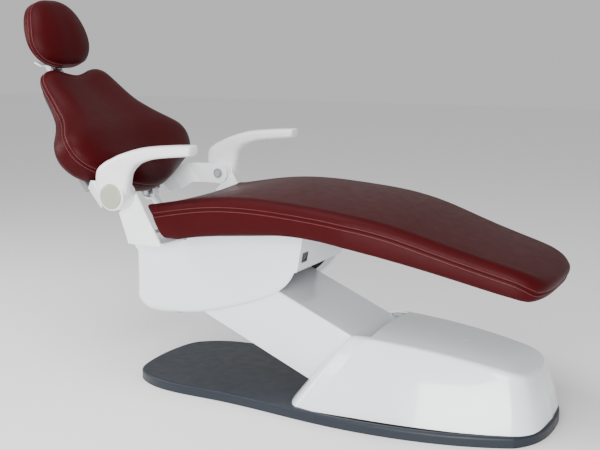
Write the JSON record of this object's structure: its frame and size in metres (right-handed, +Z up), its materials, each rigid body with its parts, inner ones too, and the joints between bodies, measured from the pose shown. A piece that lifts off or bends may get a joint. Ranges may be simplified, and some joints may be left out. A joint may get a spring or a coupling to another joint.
{
  "type": "dental chair",
  "caption": "Dental patient chair: one-piece seat and leg rest, reclining backrest with adjustable headrest and swinging armrests, on a parallel lift arm over a floor-bolted base plate.",
  "frame": {"origin": "centre of the base plate's underside, on the floor", "axes": "+X from the head end towards the feet, +Y to the patient's left, +Z up"},
  "size_m": [1.8652, 0.708, 1.2557],
  "materials": {
    "steel_grey": "grey powder coat",
    "steel_pin": "turned steel",
    "bronze": "sintered bronze",
    "plate_plastic": "fine moulded grain",
    "white_shell": "gloss moulded plastic",
    "white_paint": "white powder coat",
    "grey_cap": "warm grey satin",
    "armrest_white": "satin moulded plastic",
    "burgundy_leather": "fine grained upholstery leather",
    "black_board": "black",
    "switch_black": "black",
    "actuator_grey": "dark grey",
    "chrome_bar": "polished steel",
    "lever_plastic": "light grey"
  },
  "bodies": {
    "base": {"base_plate": "steel_grey", "plate_cover": "plate_plastic", "bumper_strip": "plate_plastic", "base_cover": "white_shell", "clevis_plate_right": "steel_grey", "clevis_plate_left": "steel_grey", "main_pivot_pin": "steel_pin", "link_pivot_pin": "steel_pin", "ram_bracket": "steel_grey", "ram_lower_pin": "steel_pin"},
    "lift_arm": {"lift_arm_plate_right": "steel_grey", "lift_arm_plate_left": "steel_grey", "lift_arm_bushes": "bronze", "lift_arm_cross_bars": "steel_grey", "crank_pin": "steel_pin", "arm_cover": "white_shell"},
    "upper_link": {"upper_link": "steel_grey"},
    "lift_actuator": {"lift_actuator_body": "actuator_grey", "lift_actuator_motor": "actuator_grey"},
    "lift_rod": {"lift_actuator_rod": "chrome_bar"},
    "seat": {"seat_cheek_right": "steel_grey", "seat_cheek_left": "steel_grey", "seat_pivot_pin": "steel_pin", "link_top_pin": "steel_pin", "seat_frame": "steel_grey", "seat_board": "black_board", "seat_cushion": "burgundy_leather", "housing_shell": "white_shell", "housing_liner": "black_board", "switch_bezel": "switch_black", "hinge_bracket_right": "white_paint", "hinge_bracket_left": "white_paint", "hinge_pins": "steel_pin", "back_actuator_hanger": "steel_grey", "back_actuator_pin": "steel_pin"},
    "back_actuator": {"back_actuator_body": "actuator_grey", "back_actuator_motor": "actuator_grey"},
    "power_switch": {"power_switch": "switch_black"},
    "back_rod": {"back_actuator_rod": "white_paint"},
    "backrest": {"back_arm_right": "white_paint", "back_arm_left": "white_paint", "back_frame": "steel_grey", "back_board": "black_board", "back_cushion": "burgundy_leather", "back_lugs": "steel_grey", "back_lug_pin": "steel_pin", "headrest_socket": "actuator_grey"},
    "headrest_bar": {"headrest_bar": "chrome_bar", "headrest_lower_joint": "chrome_bar", "lower_joint_pin": "steel_pin"},
    "headrest_link": {"headrest_link": "chrome_bar"},
    "headrest": {"headrest_cushion": "burgundy_leather", "headrest_board": "black_board", "headrest_upper_joint": "chrome_bar", "upper_joint_pin": "steel_pin"},
    "headrest_lever": {"headrest_lever": "lever_plastic"},
    "armrest_right": {"armrest_right": "armrest_white", "armrest_cap_right": "grey_cap"},
    "armrest_left": {"armrest_left": "armrest_white", "armrest_cap_left": "grey_cap"}
  },
  "joints": [
    {"name": "lift", "type": "hinge", "parent": "base", "child": "lift_arm", "pos_m": [0.12, 0, 0.123], "axis": [0, 1, 0], "range_deg": [-8, 25]},
    {"name": "upper_link_swing", "type": "hinge", "parent": "base", "child": "upper_link", "pos_m": [0.12, 0, 0.183], "axis": [0, 1, 0], "range_deg": [-8, 25]},
    {"name": "seat_level", "type": "hinge", "parent": "lift_arm", "child": "seat", "pos_m": [-0.39277, 0, 0.34809], "axis": [0, 1, 0], "range_deg": [-25, 8]},
    {"name": "lift_actuator_swing", "type": "hinge", "parent": "base", "child": "lift_actuator", "pos_m": [0.56, 0, 0.08], "axis": [0, 1, 0], "range_deg": [-0.5, 1.2]},
    {"name": "lift_actuator_stroke", "type": "slide", "parent": "lift_actuator", "child": "lift_rod", "axis": [-0.9974, 0, -0.0725], "range_m": [-0.0105, 0.0317]},
    {"name": "backrest_recline", "type": "hinge", "parent": "seat", "child": "backrest", "pos_m": [-0.613, 0, 0.634], "axis": [0, -1, 0], "range_deg": [-8, 45]},
    {"name": "back_actuator_swing", "type": "hinge", "parent": "seat", "child": "back_actuator", "pos_m": [-0.50391, 0.1, 0.25172], "axis": [0, 1, 0], "range_deg": [-2.08, 0.37]},
    {"name": "back_actuator_stroke", "type": "slide", "parent": "back_actuator", "child": "back_rod", "axis": [-0.6561, 0, 0.7547], "range_m": [-0.1407, 0.0254]},
    {"name": "headrest_height", "type": "slide", "parent": "backrest", "child": "headrest_bar", "axis": [-0.6293, 0, 0.7771], "range_m": [0, 0.08]},
    {"name": "headrest_lower_tilt", "type": "hinge", "parent": "headrest_bar", "child": "headrest_link", "pos_m": [-1.10948, 0, 1.00895], "axis": [0, 1, 0], "range_deg": [-20, 4]},
    {"name": "headrest_upper_tilt", "type": "hinge", "parent": "headrest_link", "child": "headrest", "pos_m": [-1.15497, 0, 1.08895], "axis": [0, 1, 0], "range_deg": [-30, 2]},
    {"name": "headrest_lever_press", "type": "hinge", "parent": "headrest_bar", "child": "headrest_lever", "pos_m": [-1.10948, 0, 1.00895], "axis": [0, 1, 0], "range_deg": [0, 12]},
    {"name": "armrest_right_swing", "type": "hinge", "parent": "seat", "child": "armrest_right", "pos_m": [-0.613, -0.32, 0.634], "axis": [0, -1, 0], "range_deg": [0, 50]},
    {"name": "armrest_left_swing", "type": "hinge", "parent": "seat", "child": "armrest_left", "pos_m": [-0.613, 0.32, 0.634], "axis": [0, -1, 0], "range_deg": [0, 50]},
    {"name": "power_switch_rock", "type": "hinge", "parent": "seat", "child": "power_switch", "pos_m": [-0.06666, -0.123, 0.456], "axis": [0, 1, 0], "range_deg": [-4, 4]}
  ],
  "couplings": [
    {"joint": "seat_level", "follows": "lift", "ratio": -1},
    {"joint": "upper_link_swing", "follows": "lift", "ratio": 1},
    {"joint": "lift_actuator_swing", "follows": "lift", "ratio": 0.04},
    {"joint": "lift_actuator_stroke", "follows": "lift", "m_per_rad": 0.0715},
    {"joint": "back_actuator_stroke", "follows": "backrest_recline", "m_per_rad": -0.1785},
    {"joint": "back_actuator_swing", "follows": "backrest_recline", "ratio": -0.044}
  ]
}
